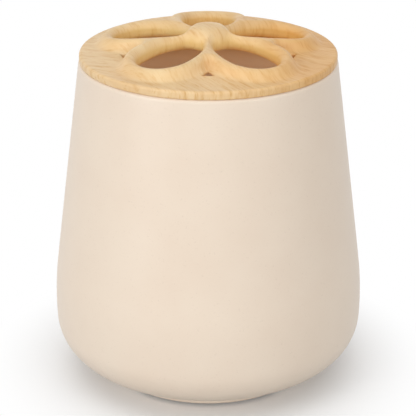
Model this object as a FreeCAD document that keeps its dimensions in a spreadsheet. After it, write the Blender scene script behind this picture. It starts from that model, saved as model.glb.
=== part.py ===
import FreeCAD, Part
import math
import os

import Sketcher

# A countertop toothbrush holder: a cast cup with a rounded heel and a low foot,
# and a turned wooden lid with five brush holes inside a raised flower of rings.
# Lengths are millimetres, +Z is up, the origin is on the table below the middle
# of the cup, and one spoke of the lid points at the front, along -Y.

SIZES = {
    # the cup's outside, its heights taken from the table
    "rim_height": 102.3,
    "mouth_radius": 39.3,
    "belly_radius": 48.4,
    "belly_height": 23.7,
    "belly_arc_radius": 107.0,
    "heel_arc_radius": 14.3,
    "underside_angle": 18.0,
    "foot_setback": 15.6,
    "foot_depth": 2.8,
    # the cup's wall and its small edges
    "cup_wall": 3.6,
    "rim_round": 1.2,
    "foot_round": 0.6,
    "foot_root_round": 1.0,
    "foot_recess": 1.4,
    # the soft pads under the foot
    "pad_radius": 3.5,
    "pad_depth": 1.6,
    "pad_stand": 1.0,
    "pad_round": 0.4,
    "pad_clearance": 0.2,
    "pad_margin": 0.8,
    # the lid's disc
    "lid_setback": 0.3,
    "lid_edge": 2.2,
    "lid_edge_round": 0.8,
    # the domes above and below the flower and its hub's knob, as shares of the lid's radius
    "crown_rise_share": 0.1513,
    "shoulder_rise_share": 0.0590,
    "knob_rise_share": 0.2077,
    "knob_dome_share": 0.3590,
    "knob_cove_share": 0.1026,
    "hollow_rise_share": 0.0487,
    "hollow_radius_share": 0.7231,
    # the petal holes and the bars of the flower around them, as such shares
    "hub_radius_share": 0.1744,
    "petal_ring_share": 0.5641,
    "petal_end_share": 0.2103,
    "petal_side_share": 0.6667,
    "petal_corner_share": 0.0308,
    "spoke_width_share": 0.0744,
    "bar_width_share": 0.1026,
    "notch_round_share": 0.0436,
    "valley_round_share": 0.0205,
    "hole_round_share": 0.0179,
    # the small gaps between two rings and the disc, as such shares
    "gap_inset_share": 0.0231,
    "gap_length_share": 0.0769,
    "gap_width_share": 0.0974,
    # the spigot below the lid and the seal ring in its groove
    "spigot_clearance": 1.0,
    "spigot_margin": 1.1,
    "spigot_depth": 7.5,
    "groove_drop": 2.4,
    "groove_width": 3.2,
    "groove_depth": 1.2,
    "seal_clearance": 0.3,
    "seal_running_clearance": 0.08,
    "seal_band": 1.0,
    "seal_fin": 0.7,
    # how far a cut runs past the face that it opens
    "overrun": 5.0,
}

PETAL_COUNT = 5
PAD_COUNT = 4
FULL_TURN = 360.0
HALF_SHARE = 0.5
HALF_PITCH = math.pi / PETAL_COUNT
DIAGONAL_SHARE = math.sqrt(HALF_SHARE)
BAR_ROUND_SHARE = 0.44
SAMPLE_SHARES = (0.0, 0.25, 0.5, 0.75, 1.0)
CLOSE = 1e-4
UP = FreeCAD.Vector(0, 0, 1)


class Size:
    """A length that keeps both its value and the sheet expression that gives it."""

    def __init__(self, value, text):
        self.value = value
        self.text = text

    def __add__(self, other):
        return Size(self.value + other.value, f"({self.text} + {other.text})")

    def __sub__(self, other):
        return Size(self.value - other.value, f"({self.text} - {other.text})")

    def __mul__(self, share):
        return Size(self.value * share, f"({self.text} * {share!r})")

    def __neg__(self):
        return Size(-self.value, f"(-{self.text})")

    def side_below(self, hypotenuse):
        """The other short side of a right triangle with this side and that hypotenuse."""
        value = math.sqrt(hypotenuse.value ** 2 - self.value ** 2)
        return Size(value, f"sqrt({hypotenuse.text} * {hypotenuse.text} - {self.text} * {self.text})")

    def dome_radius(self, rise):
        """The radius of the sphere whose cap rises by this much over a ring of this radius."""
        value = (self.value ** 2 + rise.value ** 2) / (2 * rise.value)
        return Size(value, f"(({self.text} * {self.text} + {rise.text} * {rise.text}) / (2 * {rise.text}))")


doc = FreeCAD.newDocument("toothbrush_holder")
sheet = doc.addObject("Spreadsheet::Sheet", "sizes")
for row, (alias, number) in enumerate(SIZES.items(), start=1):
    sheet.set(f"A{row}", alias)
    sheet.set(f"B{row}", str(number))
    sheet.setAlias(f"B{row}", alias)
doc.recompute()


def size(alias):
    return Size(float(sheet.get(alias)), f"sizes.{alias}")


ZERO = Size(0.0, "0")
overrun = size("overrun")


# helpers for bodies and sketches

X_AXIS_INDEX = -1
Y_AXIS_INDEX = -2
START_INDEX = 1
END_INDEX = 2
CENTRE_INDEX = 3


def vector(x, y):
    return FreeCAD.Vector(x, y, 0)


def direction(angle):
    return vector(math.cos(angle), math.sin(angle))


def polar(radius, angle):
    return direction(angle) * radius


def angle_of(point, centre):
    return math.atan2(point.y - centre.y, point.x - centre.x)


def new_body(name):
    body = doc.addObject("PartDesign::Body", name)
    body.Label = name
    return body


def origin_feature(body, role):
    return next(item for item in body.Origin.OriginFeatures if item.Role == role)


def new_sketch(body, name, role, lift=ZERO):
    """A sketch on one of the body's origin planes, lifted along the plane's normal."""
    sketch = body.newObject("Sketcher::SketchObject", name)
    sketch.AttachmentSupport = [(origin_feature(body, role), "")]
    sketch.MapMode = "FlatFace"
    sketch.setExpression("AttachmentOffset.Base.z", lift.text)
    return sketch


def hold(sketch, length, *what):
    """Add a dimension to a sketch and bind it to a size."""
    index = sketch.addConstraint(Sketcher.Constraint(*what, length.value))
    sketch.setExpression(f"Constraints[{index}]", length.text)


def locate(sketch, edge, point, x, y):
    """Hold a point of an edge at x and y from the sketch's origin."""
    for kind, length, axis in (("DistanceX", x, Y_AXIS_INDEX), ("DistanceY", y, X_AXIS_INDEX)):
        if length is ZERO:
            sketch.addConstraint(Sketcher.Constraint("PointOnObject", edge, point, axis))
        elif length.value < 0:
            hold(sketch, -length, kind, edge, point, X_AXIS_INDEX, START_INDEX)
        else:
            hold(sketch, length, kind, X_AXIS_INDEX, START_INDEX, edge, point)


def add_line(sketch, start, end):
    return sketch.addGeometry(Part.LineSegment(start, end))


def add_arc(sketch, centre, radius, start, end):
    """An arc that turns left from the start point to the end point."""
    first = angle_of(start, centre)
    last = angle_of(end, centre)
    if last < first:
        last += 2 * math.pi
    circle = Part.Circle(centre, UP, radius)
    return sketch.addGeometry(Part.ArcOfCircle(circle, first, last))


def add_circle(sketch, radius, x=ZERO, y=ZERO):
    circle = sketch.addGeometry(Part.Circle(vector(x.value, y.value), UP, radius.value))
    locate(sketch, circle, CENTRE_INDEX, x, y)
    hold(sketch, radius, "Radius", circle)


def join(sketch, kind, edge, point, other_edge, other_point):
    sketch.addConstraint(Sketcher.Constraint(kind, edge, point, other_edge, other_point))


def add_outline(sketch, corners, dome=None):
    """A closed outline of straight lines through corners, each a pair of sizes.

    The line that starts at the corner numbered dome is an arc instead, centred on the
    vertical axis, which it leaves at its own start or end.
    """
    points = [vector(x.value, y.value) for x, y in corners]
    ends = []
    for number, start in enumerate(points):
        end = points[(number + 1) % len(points)]
        if number == dome:
            rise = (end.x ** 2 + end.y ** 2 - start.x ** 2 - start.y ** 2) / (2 * (end.y - start.y))
            centre = vector(0, rise)
            turns_left = (start - centre).cross(end - centre).z > 0
            first, last = (start, end) if turns_left else (end, start)
            edge = add_arc(sketch, centre, (start - centre).Length, first, last)
            sketch.addConstraint(Sketcher.Constraint("PointOnObject", edge, CENTRE_INDEX, Y_AXIS_INDEX))
            ends.append((edge, START_INDEX, END_INDEX) if turns_left else (edge, END_INDEX, START_INDEX))
        else:
            ends.append((add_line(sketch, start, end), START_INDEX, END_INDEX))
    for number, (edge, first, last) in enumerate(ends):
        next_edge, next_first, _ = ends[(number + 1) % len(ends)]
        join(sketch, "Coincident", edge, last, next_edge, next_first)
        locate(sketch, edge, first, *corners[number])


def turn(body, kind, name, sketch):
    """Turn a sketch on the XZ plane once around the Z axis, adding or cutting."""
    feature = body.newObject(kind, name)
    feature.Profile = sketch
    feature.ReferenceAxis = (sketch, ["V_Axis"])
    feature.Angle = FULL_TURN
    return feature


def extrude(body, kind, name, sketch, length, upward=True):
    """Pad or pocket a sketch on the XY plane by a length, upward or downward."""
    feature = body.newObject(kind, name)
    feature.Profile = sketch
    feature.setExpression("Length", length.text)
    feature.Reversed = upward == (kind == "PartDesign::Pocket")
    return feature


def repeat_around(body, name, features, count):
    """Repeat features evenly around the body's Z axis."""
    pattern = body.newObject("PartDesign::PolarPattern", name)
    pattern.Originals = features
    pattern.Axis = (origin_feature(body, "Z_Axis"), [""])
    pattern.Angle = FULL_TURN
    pattern.Occurrences = count
    body.Tip = pattern
    return pattern


def round_edges(body, name, radius, wanted):
    """Round each edge of the body so far that the test picks out."""
    doc.recompute()
    base = body.Tip
    picked = [f"Edge{number}" for number, edge in enumerate(base.Shape.Edges, start=1) if wanted(edge)]
    if not picked:
        raise ValueError(f"{name} found no edge to round")
    fillet = body.newObject("PartDesign::Fillet", name)
    fillet.Base = (base, picked)
    fillet.setExpression("Radius", radius.text)
    body.Tip = fillet
    return fillet


def samples(edge):
    first, last = edge.ParameterRange
    return [edge.valueAt(first + (last - first) * share) for share in SAMPLE_SHARES]


def from_axis(point):
    return math.hypot(point.x, point.y)


def near(value, wanted):
    return abs(value - wanted.value) < CLOSE


def on_ring(edge, radius, height):
    """Whether an edge lies all along on the circle of this radius and height around the Z axis."""
    return all(near(from_axis(point), radius) and near(point.z, height) for point in samples(edge))


# the cup

rim_height = size("rim_height")
mouth_radius = size("mouth_radius")
cup_wall = size("cup_wall")
pad_stand = size("pad_stand")
foot_radius = size("belly_radius") - size("foot_setback")
underside_height = pad_stand + size("foot_depth")
bore_radius = mouth_radius - cup_wall
pad_seat_radius = size("pad_radius") + size("pad_clearance")
pad_ring_radius = foot_radius - pad_seat_radius - size("pad_margin")
recess_radius = pad_ring_radius - pad_seat_radius - size("pad_margin")
pad_seat_depth = size("pad_depth") - pad_stand


def add_cup_outline(sketch, inset, floor_height):
    """Half of the cup's section: a straight wall, the belly's arc, the heel's arc and a sloping underside.

    The inset moves the outline in from the cup's outside, for the hollow of the cup.
    """
    top = mouth_radius - inset
    foot = foot_radius - inset
    belly_arc = size("belly_arc_radius") - inset
    heel_arc = size("heel_arc_radius") - inset
    belly_x = size("belly_radius") - size("belly_arc_radius")
    belly_y = size("belly_height")
    slope = Size(math.radians(size("underside_angle").value), "sizes.underside_angle * 1 deg")

    rim_point = vector(top.value, rim_height.value)
    foot_point = vector(foot.value, floor_height.value)
    belly_centre = vector(belly_x.value, belly_y.value)
    to_rim = rim_point - belly_centre
    wall_angle = math.atan2(to_rim.y, to_rim.x) - math.acos(belly_arc.value / to_rim.Length)
    wall_end = belly_centre + polar(belly_arc.value, wall_angle)
    along = direction(slope.value)
    inward = direction(slope.value + math.pi / 2)
    to_heel = foot_point + inward * heel_arc.value - belly_centre
    reach = belly_arc.value - heel_arc.value
    run = math.sqrt(to_heel.dot(along) ** 2 - to_heel.dot(to_heel) + reach ** 2) - to_heel.dot(along)
    heel_centre = belly_centre + to_heel + along * run
    belly_end = belly_centre + (heel_centre - belly_centre) * (belly_arc.value / reach)
    heel_end = foot_point + along * run

    axis_low = vector(0, floor_height.value)
    axis_high = vector(0, rim_height.value)
    axis = add_line(sketch, axis_low, axis_high)
    rim = add_line(sketch, axis_high, rim_point)
    wall = add_line(sketch, rim_point, wall_end)
    belly = add_arc(sketch, belly_centre, belly_arc.value, belly_end, wall_end)
    heel = add_arc(sketch, heel_centre, heel_arc.value, heel_end, belly_end)
    underside = add_line(sketch, foot_point, heel_end)
    floor = add_line(sketch, foot_point, axis_low)

    join(sketch, "Coincident", axis, END_INDEX, rim, START_INDEX)
    join(sketch, "Coincident", rim, END_INDEX, wall, START_INDEX)
    join(sketch, "Tangent", wall, END_INDEX, belly, END_INDEX)
    join(sketch, "Tangent", belly, START_INDEX, heel, END_INDEX)
    join(sketch, "Tangent", heel, START_INDEX, underside, END_INDEX)
    join(sketch, "Coincident", underside, START_INDEX, floor, START_INDEX)
    join(sketch, "Coincident", floor, END_INDEX, axis, START_INDEX)
    locate(sketch, axis, START_INDEX, ZERO, floor_height)
    locate(sketch, axis, END_INDEX, ZERO, rim_height)
    locate(sketch, wall, START_INDEX, top, rim_height)
    locate(sketch, floor, START_INDEX, foot, floor_height)
    locate(sketch, belly, CENTRE_INDEX, belly_x, belly_y)
    hold(sketch, belly_arc, "Radius", belly)
    hold(sketch, heel_arc, "Radius", heel)
    hold(sketch, slope, "Angle", underside)


def build_cup():
    body = new_body("cup")

    outside = new_sketch(body, "cup_outside", "XZ_Plane")
    add_cup_outline(outside, ZERO, underside_height)
    turn(body, "PartDesign::Revolution", "cup_form", outside)

    inside = new_sketch(body, "cup_inside", "XZ_Plane")
    add_cup_outline(inside, cup_wall, underside_height + cup_wall)
    turn(body, "PartDesign::Groove", "cup_hollow", inside)

    foot = new_sketch(body, "foot_disc", "XY_Plane", pad_stand)
    add_circle(foot, foot_radius)
    extrude(body, "PartDesign::Pad", "foot", foot, size("foot_depth"))

    recess = new_sketch(body, "foot_recess_disc", "XY_Plane", pad_stand)
    add_circle(recess, recess_radius)
    extrude(body, "PartDesign::Pocket", "foot_recess", recess, size("foot_recess"))

    seat = new_sketch(body, "pad_seat_disc", "XY_Plane", pad_stand)
    diagonal = pad_ring_radius * DIAGONAL_SHARE
    add_circle(seat, pad_seat_radius, diagonal, diagonal)
    pad_seat = extrude(body, "PartDesign::Pocket", "pad_seat", seat, pad_seat_depth)
    repeat_around(body, "pad_seats", [pad_seat], PAD_COUNT)

    round_edges(body, "rim_rounding", size("rim_round"),
                lambda edge: any(on_ring(edge, radius, rim_height) for radius in (mouth_radius, bore_radius)))
    round_edges(body, "foot_rounding", size("foot_round"),
                lambda edge: on_ring(edge, foot_radius, pad_stand))
    round_edges(body, "foot_root_rounding", size("foot_root_round"),
                lambda edge: on_ring(edge, foot_radius, underside_height))
    return body


def build_foot_pad(number):
    """One soft pad, set in its seat under the foot and standing a little proud of it."""
    body = new_body(f"foot_pad_{number + 1}")
    disc = new_sketch(body, f"pad_disc_{number + 1}", "XY_Plane")
    add_circle(disc, size("pad_radius"))
    extrude(body, "PartDesign::Pad", f"pad_{number + 1}", disc, size("pad_depth"))
    round_edges(body, f"pad_rounding_{number + 1}", size("pad_round"),
                lambda edge: on_ring(edge, size("pad_radius"), ZERO))
    angle = (number + HALF_SHARE) * 2 * math.pi / PAD_COUNT
    body.setExpression("Placement.Base.x", (pad_ring_radius * math.cos(angle)).text)
    body.setExpression("Placement.Base.y", (pad_ring_radius * math.sin(angle)).text)
    return body


# the lid, its heights taken from the top of its disc

lid_edge = size("lid_edge")
lid_radius = mouth_radius - size("lid_setback")


def of_lid(alias):
    """A length of the lid that the sheet gives as a share of the lid's radius."""
    share = size(alias)
    return Size(lid_radius.value * share.value, f"({lid_radius.text} * {share.text})")


crown_rise = of_lid("crown_rise_share")
shoulder_rise = of_lid("shoulder_rise_share")
knob_rise = of_lid("knob_rise_share")
hollow_rise = of_lid("hollow_rise_share")
hollow_radius = of_lid("hollow_radius_share")
petal_centre = of_lid("petal_ring_share")
petal_end = of_lid("petal_end_share")
petal_reach = petal_centre + petal_end
bar_width = of_lid("bar_width_share")
spoke_width = of_lid("spoke_width_share")
lobe_radius = petal_end + bar_width
flower_radius = petal_centre + lobe_radius
notch_round = of_lid("notch_round_share")
spigot_radius = bore_radius - size("spigot_clearance")
spigot_bore = petal_reach + size("spigot_margin")
spigot_foot = -(lid_edge + size("spigot_depth"))
groove_floor = spigot_radius - size("groove_depth")
groove_top = -(lid_edge + size("groove_drop"))
groove_foot = groove_top - size("groove_width")
lobe_side = petal_centre * math.sin(HALF_PITCH)
notch_centre = petal_centre * math.cos(HALF_PITCH) + lobe_side.side_below(lobe_radius + notch_round)
bar_round = spoke_width * BAR_ROUND_SHARE


def crossing(centre, radius, other_centre, other_radius):
    """The crossing of two circles that lies to the right of the way from one to the other."""
    across = other_centre - centre
    apart = across.Length
    forward = (radius ** 2 - other_radius ** 2 + apart ** 2) / (2 * apart)
    aside = math.sqrt(radius ** 2 - forward ** 2)
    unit = across / apart
    return centre + unit * forward + vector(unit.y, -unit.x) * aside


def mirrored(point):
    return vector(-point.x, point.y)


def toward(start, end, length):
    return start + (end - start) * (length / (end - start).Length)


def add_petal(sketch):
    """One brush hole on the +Y axis: a round outer end, two bowed sides, two corners and the hub's arc.

    A line along the middle of the next spoke sets how far each side stays from it where the
    side would meet the hub's arc if the corner between them were sharp.
    """
    hub_radius = of_lid("hub_radius_share")
    side_radius = of_lid("petal_side_share")
    corner_radius = of_lid("petal_corner_share")
    half_spoke = spoke_width * HALF_SHARE

    middle = vector(0, 0)
    spoke_angle = math.pi / 2 - HALF_PITCH
    sharp = polar(hub_radius.value, spoke_angle + math.asin(half_spoke.value / hub_radius.value))
    end_centre = vector(0, petal_centre.value)
    side_centre = crossing(end_centre, side_radius.value - petal_end.value, sharp, side_radius.value)
    corner_centre = crossing(middle, hub_radius.value + corner_radius.value,
                             side_centre, side_radius.value - corner_radius.value)
    side_top = toward(side_centre, end_centre, side_radius.value)
    side_foot = toward(side_centre, corner_centre, side_radius.value)
    hub_start = toward(middle, corner_centre, hub_radius.value)

    end = add_arc(sketch, end_centre, petal_end.value, side_top, mirrored(side_top))
    right_side = add_arc(sketch, side_centre, side_radius.value, side_foot, side_top)
    left_side = add_arc(sketch, mirrored(side_centre), side_radius.value,
                        mirrored(side_top), mirrored(side_foot))
    right_corner = add_arc(sketch, corner_centre, corner_radius.value, hub_start, side_foot)
    left_corner = add_arc(sketch, mirrored(corner_centre), corner_radius.value,
                          mirrored(side_foot), mirrored(hub_start))
    hub = add_arc(sketch, middle, hub_radius.value, hub_start, mirrored(hub_start))
    spoke = add_line(sketch, middle, polar(flower_radius.value, spoke_angle))
    sketch.setConstruction(spoke, True)
    sharp_corner = sketch.addGeometry(Part.Point(sharp))
    sketch.setConstruction(sharp_corner, True)

    join(sketch, "Tangent", end, START_INDEX, right_side, END_INDEX)
    join(sketch, "Tangent", right_side, START_INDEX, right_corner, END_INDEX)
    join(sketch, "Tangent", right_corner, START_INDEX, hub, START_INDEX)
    join(sketch, "Tangent", hub, END_INDEX, left_corner, END_INDEX)
    join(sketch, "Tangent", left_corner, START_INDEX, left_side, END_INDEX)
    join(sketch, "Tangent", left_side, START_INDEX, end, END_INDEX)
    join(sketch, "Coincident", hub, CENTRE_INDEX, X_AXIS_INDEX, START_INDEX)
    join(sketch, "Horizontal", hub, START_INDEX, hub, END_INDEX)
    locate(sketch, end, CENTRE_INDEX, ZERO, petal_centre)
    hold(sketch, petal_end, "Radius", end)
    hold(sketch, side_radius, "Radius", right_side)
    hold(sketch, corner_radius, "Radius", right_corner)
    hold(sketch, hub_radius, "Radius", hub)
    sketch.addConstraint(Sketcher.Constraint("Equal", right_side, left_side))
    sketch.addConstraint(Sketcher.Constraint("Equal", right_corner, left_corner))
    join(sketch, "Coincident", spoke, START_INDEX, X_AXIS_INDEX, START_INDEX)
    sketch.addConstraint(Sketcher.Constraint("Angle", spoke, spoke_angle))
    hold(sketch, flower_radius, "Distance", spoke)
    sketch.addConstraint(Sketcher.Constraint("PointOnObject", sharp_corner, START_INDEX, right_side))
    sketch.addConstraint(Sketcher.Constraint("PointOnObject", sharp_corner, START_INDEX, hub))
    hold(sketch, half_spoke, "Distance", sharp_corner, START_INDEX, spoke)


def add_flower_outline(sketch):
    """Five round lobes around the petals, with a rounded notch between each two."""
    lobes = []
    notches = []
    share = lobe_radius.value / (lobe_radius.value + notch_round.value)
    for number in range(PETAL_COUNT):
        petal_angle = math.pi / 2 + 2 * number * HALF_PITCH
        lobe = polar(petal_centre.value, petal_angle)
        before = polar(notch_centre.value, petal_angle - HALF_PITCH)
        after = polar(notch_centre.value, petal_angle + HALF_PITCH)
        next_lobe = polar(petal_centre.value, petal_angle + 2 * HALF_PITCH)
        lobe_start = lobe + (before - lobe) * share
        lobe_end = lobe + (after - lobe) * share
        next_start = next_lobe + (after - next_lobe) * share
        lobes.append(add_arc(sketch, lobe, lobe_radius.value, lobe_start, lobe_end))
        notches.append(add_arc(sketch, after, notch_round.value, next_start, lobe_end))
    for number, (lobe, notch) in enumerate(zip(lobes, notches)):
        petal_angle = math.pi / 2 + 2 * number * HALF_PITCH
        next_lobe = lobes[(number + 1) % PETAL_COUNT]
        join(sketch, "Tangent", lobe, END_INDEX, notch, END_INDEX)
        join(sketch, "Tangent", notch, START_INDEX, next_lobe, START_INDEX)
        across = petal_centre * math.cos(petal_angle) if number else ZERO
        locate(sketch, lobe, CENTRE_INDEX, across, petal_centre * math.sin(petal_angle))
        hold(sketch, lobe_radius, "Radius", lobe)
        hold(sketch, notch_round, "Radius", notch)


class Crown:
    """The section of the flower's top: a dome over the hub, a cove around it and a wide low dome."""

    def __init__(self):
        self.knob_radius = of_lid("knob_dome_share")
        self.cove_radius = of_lid("knob_cove_share")
        self.dome_radius = flower_radius.dome_radius(crown_rise - shoulder_rise)
        self.knob_centre = vector(0, (knob_rise - self.knob_radius).value)
        self.dome_centre = vector(0, (crown_rise - self.dome_radius).value)
        self.cove_centre = crossing(self.dome_centre, (self.dome_radius + self.cove_radius).value,
                                    self.knob_centre, (self.knob_radius + self.cove_radius).value)
        self.knob_end = toward(self.knob_centre, self.cove_centre, self.knob_radius.value)
        self.dome_start = toward(self.dome_centre, self.cove_centre, self.dome_radius.value)

    def draw(self, sketch, above):
        """Add the section to a sketch on the XZ plane, closed up to a height above it."""
        edge_radius = flower_radius + overrun
        top = vector(0, knob_rise.value)
        shoulder = vector(flower_radius.value, shoulder_rise.value)
        edge_low = vector(edge_radius.value, shoulder_rise.value)
        edge_high = vector(edge_radius.value, above.value)
        axis_high = vector(0, above.value)

        knob = add_arc(sketch, self.knob_centre, self.knob_radius.value, self.knob_end, top)
        cove = add_arc(sketch, self.cove_centre, self.cove_radius.value, self.knob_end, self.dome_start)
        dome = add_arc(sketch, self.dome_centre, self.dome_radius.value, shoulder, self.dome_start)
        lines = [add_line(sketch, shoulder, edge_low), add_line(sketch, edge_low, edge_high),
                 add_line(sketch, edge_high, axis_high), add_line(sketch, axis_high, top)]

        join(sketch, "Tangent", knob, START_INDEX, cove, START_INDEX)
        join(sketch, "Tangent", cove, END_INDEX, dome, END_INDEX)
        join(sketch, "Coincident", dome, START_INDEX, lines[0], START_INDEX)
        for edge, next_edge in zip(lines, lines[1:]):
            join(sketch, "Coincident", edge, END_INDEX, next_edge, START_INDEX)
        join(sketch, "Coincident", lines[-1], END_INDEX, knob, END_INDEX)
        for arc in (knob, dome):
            sketch.addConstraint(Sketcher.Constraint("PointOnObject", arc, CENTRE_INDEX, Y_AXIS_INDEX))
        hold(sketch, self.knob_radius, "Radius", knob)
        hold(sketch, self.cove_radius, "Radius", cove)
        hold(sketch, self.dome_radius, "Radius", dome)
        locate(sketch, knob, END_INDEX, ZERO, knob_rise)
        locate(sketch, dome, START_INDEX, flower_radius, shoulder_rise)
        locate(sketch, lines[1], START_INDEX, edge_radius, shoulder_rise)
        locate(sketch, lines[2], START_INDEX, edge_radius, above)
        locate(sketch, lines[3], START_INDEX, ZERO, above)

    def height(self, radius):
        if radius < self.knob_end.x:
            return self.knob_centre.y + math.sqrt(self.knob_radius.value ** 2 - radius ** 2)
        if radius < self.dome_start.x:
            aside = self.cove_centre.x - radius
            return self.cove_centre.y - math.sqrt(self.cove_radius.value ** 2 - aside ** 2)
        return self.dome_centre.y + math.sqrt(self.dome_radius.value ** 2 - radius ** 2)

    def borders(self, edge):
        """Whether an edge lies where the crown ends, and not where two of its arcs run into each other."""
        points = samples(edge)
        is_seam = all(abs(point.y) < CLOSE for point in points)
        is_smooth = any(all(abs(from_axis(point) - end.x) < CLOSE for point in points)
                        for end in (self.knob_end, self.dome_start))
        on_crown = all(abs(point.z - self.height(from_axis(point))) < CLOSE for point in points)
        return on_crown and not is_seam and not is_smooth


def on_dome(edge, top, rim_radius, rim_rise):
    """Whether an edge borders a dome with this top, which passes through a ring of this radius and height."""
    height = (rim_radius.value ** 2 + rim_rise.value ** 2 - top.value ** 2) / (2 * (rim_rise - top).value)
    centre = FreeCAD.Vector(0, 0, height)
    reach = abs(top.value - height)
    points = samples(edge)
    is_seam = all(abs(point.y) < CLOSE for point in points)
    return not is_seam and all(abs((point - centre).Length - reach) < CLOSE for point in points)


def into_pitch(point):
    """A point's place along and across the nearest spoke, the first spoke pointing along -Y."""
    turned = math.atan2(point.y, point.x) + math.pi / 2
    angle = (turned + HALF_PITCH) % (2 * HALF_PITCH) - HALF_PITCH
    return vector(from_axis(point) * math.cos(angle), abs(from_axis(point) * math.sin(angle)))


def on_flower_outline(point):
    """Whether a point lies on a lobe's or a notch's arc, seen from above."""
    place = into_pitch(point)
    lobe = polar(petal_centre.value, HALF_PITCH)
    notch = vector(notch_centre.value, 0)
    return near((place - lobe).Length, lobe_radius) or near((place - notch).Length, notch_round)


def round_lid(body, crown, half_gap):
    """Round the lid's edges: bars from above and below, the valleys beside them, and the rim."""

    def in_valley(edge):
        return all(near(point.z, ZERO) and on_flower_outline(point) for point in samples(edge))

    def below_petal(edge):
        points = samples(edge)
        flat = all(near(point.z, -lid_edge) for point in points)
        below = flat or on_dome(edge, hollow_rise, hollow_radius, -lid_edge)
        inside = all(from_axis(point) < petal_reach.value + CLOSE for point in points)
        at_gap = all(into_pitch(point).y < half_gap.value + CLOSE for point in points)
        return below and inside and not at_gap and not on_ring(edge, hollow_radius, -lid_edge)

    round_edges(body, "bar_rounding", bar_round, crown.borders)
    round_edges(body, "valley_rounding", of_lid("valley_round_share"), in_valley)
    round_edges(body, "hole_rounding", of_lid("hole_round_share"), below_petal)
    round_edges(body, "lid_rim_rounding", size("lid_edge_round"),
                lambda edge: on_ring(edge, lid_radius, ZERO))


def build_lid():
    body = new_body("lid")
    body.setExpression("Placement.Base.z", (rim_height + lid_edge).text)

    disc = new_sketch(body, "lid_disc", "XZ_Plane")
    add_outline(disc, [
        (ZERO, ZERO),
        (lid_radius, ZERO),
        (lid_radius, -lid_edge),
        (spigot_radius, -lid_edge),
        (spigot_radius, spigot_foot),
        (spigot_bore, spigot_foot),
        (spigot_bore, -lid_edge),
        (ZERO, -lid_edge),
    ])
    turn(body, "PartDesign::Revolution", "lid_form", disc)

    above = knob_rise + overrun
    flower = new_sketch(body, "flower_outline", "XY_Plane")
    add_flower_outline(flower)
    extrude(body, "PartDesign::Pad", "flower", flower, above)

    crown = Crown()
    crown_section = new_sketch(body, "crown_section", "XZ_Plane")
    crown.draw(crown_section, above + overrun)
    turn(body, "PartDesign::Groove", "crown", crown_section)

    hollow = new_sketch(body, "hollow_dome", "XZ_Plane")
    add_outline(hollow, [
        (hollow_radius, -lid_edge),
        (ZERO, hollow_rise),
        (ZERO, -(lid_edge + overrun)),
        (hollow_radius, -(lid_edge + overrun)),
    ], dome=0)
    turn(body, "PartDesign::Groove", "hollow", hollow)

    groove = new_sketch(body, "seal_groove_section", "XZ_Plane")
    groove_mouth = spigot_radius + overrun
    add_outline(groove, [
        (groove_floor, groove_top),
        (groove_mouth, groove_top),
        (groove_mouth, groove_foot),
        (groove_floor, groove_foot),
    ])
    turn(body, "PartDesign::Groove", "seal_groove", groove)

    through = above + lid_edge + overrun
    petal = new_sketch(body, "petal_outline", "XY_Plane", above)
    add_petal(petal)
    petal_hole = extrude(body, "PartDesign::Pocket", "petal_hole", petal, through, upward=False)

    gap_tip = notch_centre - notch_round + of_lid("gap_inset_share")
    gap_foot = gap_tip + of_lid("gap_length_share")
    half_gap = of_lid("gap_width_share") * HALF_SHARE
    gap = new_sketch(body, "gap_outline", "XY_Plane", above)
    add_outline(gap, [
        (ZERO, -gap_tip),
        (-half_gap, -gap_foot),
        (half_gap, -gap_foot),
    ])
    gap_hole = extrude(body, "PartDesign::Pocket", "gap_hole", gap, through, upward=False)
    repeat_around(body, "petal_and_gap_holes", [petal_hole, gap_hole], PETAL_COUNT)
    round_lid(body, crown, half_gap)
    return body


def build_seal_ring():
    """Soft ring with two fins, loose in the spigot's groove, its fins close to the cup's bore."""
    body = new_body("lid_seal_ring")
    body.setExpression("Placement.Base.z", (rim_height + lid_edge).text)
    running = size("seal_running_clearance")
    inner = groove_floor + running
    band = inner + size("seal_band")
    outer = bore_radius - size("seal_clearance")
    top = groove_top - running
    foot = groove_foot + running
    fin = size("seal_fin")
    section = new_sketch(body, "seal_section", "XZ_Plane")
    add_outline(section, [
        (inner, top),
        (outer, top),
        (outer, top - fin),
        (band, top - fin),
        (band, foot + fin),
        (outer, foot + fin),
        (outer, foot),
        (inner, foot),
    ])
    turn(body, "PartDesign::Revolution", "seal_form", section)
    return body


def check(body):
    for item in body.Group + [body]:
        if "Invalid" in item.State or "Error" in item.State:
            raise RuntimeError(f"{item.Name} did not build")
    shape = body.Shape
    if shape.isNull() or not shape.isValid() or len(shape.Solids) != 1:
        raise RuntimeError(f"{body.Label} is not one valid solid")


bodies = [build_cup(), build_lid(), build_seal_ring()]
bodies += [build_foot_pad(number) for number in range(PAD_COUNT)]
doc.recompute()
os.makedirs("parts", exist_ok=True)
for piece in bodies:
    check(piece)
for piece in bodies:
    piece.Shape.exportStep(f"parts/{piece.Label}.step")
    box = piece.Shape.BoundBox
    print(f"{piece.Label}: {piece.Shape.Volume:.0f} mm3, z {box.ZMin:.2f} to {box.ZMax:.2f}")
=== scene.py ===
# %% [markdown]
# A toothbrush holder for a washstand: a cream glazed cup with a full belly and a
# low foot, and a pale wooden lid whose brush holes sit inside a raised flower of
# five rings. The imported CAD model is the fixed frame. Each visible piece is drawn
# again here as a smooth surface from a few arcs and lengths, in the same place,
# and gets a finish made of shader nodes.

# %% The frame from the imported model
import math

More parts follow.
